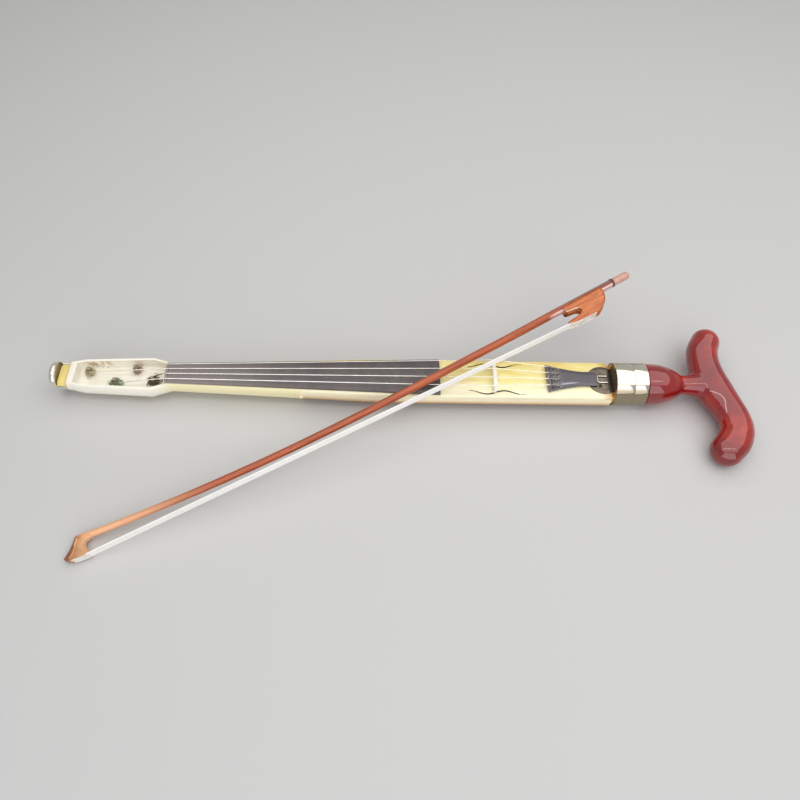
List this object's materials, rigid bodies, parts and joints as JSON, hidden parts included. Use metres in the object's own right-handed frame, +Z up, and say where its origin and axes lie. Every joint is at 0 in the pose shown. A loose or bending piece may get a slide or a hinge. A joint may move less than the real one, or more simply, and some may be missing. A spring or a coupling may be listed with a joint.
{
  "type": "cane violin",
  "caption": "Slim violin built inside a walking stick, open on its round back, with peg box, end ring, collar, curved lacquered handle and a bow laid across the strings.",
  "frame": {"origin": "bottom centre of the whole object's bounding box, on the table under the round back", "axes": "+X along the stick from the end ring to the handle, +Y away from the viewer to the short end of the handle, +Z up from the table"},
  "size_m": [0.7018, 0.295, 0.0748],
  "materials": {
    "maple": "varnished",
    "spruce": "varnished",
    "pale_maple": "satin",
    "ebony": "satin",
    "bow_wood": "polished",
    "button_wood": "satin",
    "red_lacquer": "gloss lacquer",
    "nickel_silver": "satin",
    "string_steel": "drawn wire",
    "dark_steel": "dull",
    "brass_fittings": "turned",
    "ivory_plate": "satin",
    "horsehair": "plain"
  },
  "bodies": {
    "violin": {"end_ring": "nickel_silver", "neck_and_peg_box": "maple", "body_shell": "maple", "soundboard": "spruce", "bass_bar": "spruce", "sound_post": "spruce", "tail_block": "maple", "joint_stud_far": "maple", "joint_stud_near": "maple", "handle_socket": "brass_fittings", "body_collar": "nickel_silver", "fingerboard": "ebony", "nut": "ebony", "bridge": "pale_maple", "tailpiece": "ebony", "tail_saddle": "ebony", "tail_plate": "dark_steel", "tail_loop": "string_steel", "tail_screw": "string_steel", "string_1": "string_steel", "string_2": "string_steel", "string_3": "string_steel", "string_4": "string_steel"},
    "pin_1": {"wrest_pin_1": "dark_steel", "string_coil_1": "string_steel"},
    "pin_2": {"wrest_pin_2": "dark_steel", "string_coil_2": "string_steel"},
    "pin_3": {"wrest_pin_3": "dark_steel", "string_coil_3": "string_steel"},
    "pin_4": {"wrest_pin_4": "dark_steel", "string_coil_4": "string_steel"},
    "handle": {"handle_grip": "red_lacquer", "handle_collar": "nickel_silver", "handle_spigot": "brass_fittings"},
    "bow": {"bow_stick": "bow_wood", "bow_tip_plate": "ivory_plate", "bow_hair": "horsehair"},
    "frog": {"bow_frog": "bow_wood", "bow_eyelet": "brass_fittings"},
    "bow_adjuster": {"bow_button": "button_wood", "bow_screw": "string_steel"}
  },
  "joints": [
    {"name": "pin_1_turn", "type": "hinge", "parent": "violin", "child": "pin_1", "pos_m": [-0.27187, 0.04695, 0.02], "axis": [0, 0, 1], "range_deg": [-360, 360]},
    {"name": "pin_2_turn", "type": "hinge", "parent": "violin", "child": "pin_2", "pos_m": [-0.31787, 0.04345, 0.02], "axis": [0, 0, 1], "range_deg": [-360, 360]},
    {"name": "pin_3_turn", "type": "hinge", "parent": "violin", "child": "pin_3", "pos_m": [-0.25287, 0.03345, 0.02], "axis": [0, 0, 1], "range_deg": [-360, 360]},
    {"name": "pin_4_turn", "type": "hinge", "parent": "violin", "child": "pin_4", "pos_m": [-0.28987, 0.03095, 0.02], "axis": [0, 0, 1], "range_deg": [-360, 360]},
    {"name": "handle_pull", "type": "slide", "parent": "violin", "child": "handle", "axis": [1, 0, 0], "range_m": [0, 0.05]},
    {"name": "bow_lift", "type": "slide", "parent": "violin", "child": "bow", "axis": [0, 0, 1], "range_m": [0, 0.1]},
    {"name": "frog_slide", "type": "slide", "parent": "bow", "child": "frog", "axis": [0.8639, 0.4919, 0.1077], "range_m": [-0.005, 0.001], "deforming": ["bow_hair"]},
    {"name": "button_turn", "type": "hinge", "parent": "bow", "child": "bow_adjuster", "pos_m": [0.22131, 0.13732, 0.06902], "axis": [0.8639, 0.4919, 0.1077], "range_deg": [-3001, 601]}
  ],
  "couplings": [
    {"joint": "button_turn", "follows": "frog_slide", "rad_per_m": 10472}
  ]
}
